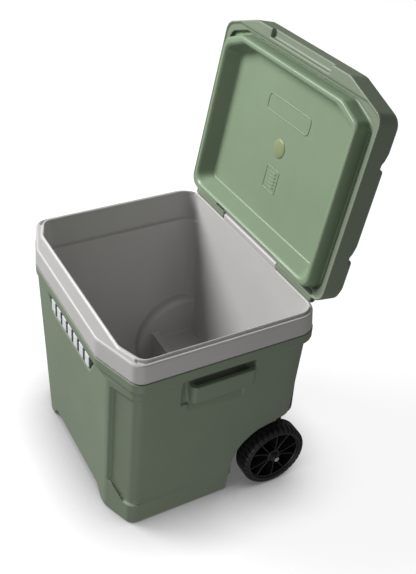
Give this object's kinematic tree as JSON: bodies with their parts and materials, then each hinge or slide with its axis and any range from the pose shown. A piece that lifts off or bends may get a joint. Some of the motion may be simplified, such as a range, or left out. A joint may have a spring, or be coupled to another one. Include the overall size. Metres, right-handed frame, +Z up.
{
  "type": "wheeled cooler",
  "caption": "Hard insulated chest with a hinged foam-filled lid, side grab bars, a plugged drain and a rear swing tow handle, rolling on an axle.",
  "frame": {"origin": "middle of the flat base on the floor, in line with the middle of the rim band", "axes": "+X along the wheel axle to the right, +Y towards the hinge and the wheels, +Z up"},
  "size_m": [0.545, 0.5474, 0.8758],
  "materials": {
    "shell_green": "satin moulded",
    "lid_pan_green": "satin moulded",
    "plug_green": "satin",
    "liner_grey": "satin moulded",
    "foam": "foam",
    "badge_dark": "matte",
    "badge_light": "gloss",
    "pin_steel": "brushed",
    "cap_chrome": "polished",
    "wheel_black": "satin",
    "tyre_black": "matte",
    "handle_black": "satin",
    "tube_metal": "powder coat",
    "grip_rubber": "matte",
    "seal_rubber": "matte"
  },
  "bodies": {
    "body": {"body_shell": "shell_green", "liner": "liner_grey", "body_foam": "foam", "badge_plate": "badge_dark", "badge_bars": "badge_light", "hinge_pin_left": "pin_steel", "hinge_pin_right": "pin_steel", "axle": "pin_steel", "axle_washers": "wheel_black", "axle_caps": "cap_chrome", "drain_spout": "liner_grey", "drain_nut": "liner_grey", "drain_gaskets": "seal_rubber", "tow_bracket_left": "handle_black", "tow_bracket_right": "handle_black", "tow_pivots": "pin_steel", "bracket_screws": "pin_steel"},
    "lid": {"lid_shell": "shell_green", "lid_liner": "lid_pan_green", "lid_foam": "foam", "lid_plug": "plug_green"},
    "wheel_left": {"wheel_hub_left": "wheel_black", "tyre_left": "tyre_black"},
    "wheel_right": {"wheel_hub_right": "wheel_black", "tyre_right": "tyre_black"},
    "tow_handle": {"tow_bar": "tube_metal", "tow_grip": "grip_rubber"},
    "drain_plug": {"drain_cap": "liner_grey", "drain_seal": "seal_rubber"}
  },
  "joints": [
    {"name": "lid_hinge", "type": "hinge", "parent": "body", "child": "lid", "pos_m": [0, 0.2094, 0.4626], "axis": [1, 0, 0], "range_deg": [0, 101]},
    {"name": "wheel_left_spin", "type": "hinge", "parent": "body", "child": "wheel_left", "pos_m": [-0.236, 0.152, 0.0745], "axis": [1, 0, 0], "continuous": true},
    {"name": "wheel_right_spin", "type": "hinge", "parent": "body", "child": "wheel_right", "pos_m": [0.236, 0.152, 0.0745], "axis": [1, 0, 0], "continuous": true},
    {"name": "tow_handle_swing", "type": "hinge", "parent": "body", "child": "tow_handle", "pos_m": [0, 0.222, 0.345], "axis": [1, 0, 0], "range_deg": [0, 145]},
    {"name": "drain_plug_pull", "type": "slide", "parent": "body", "child": "drain_plug", "axis": [-1, 0, 0], "range_m": [0, 0.015]}
  ]
}
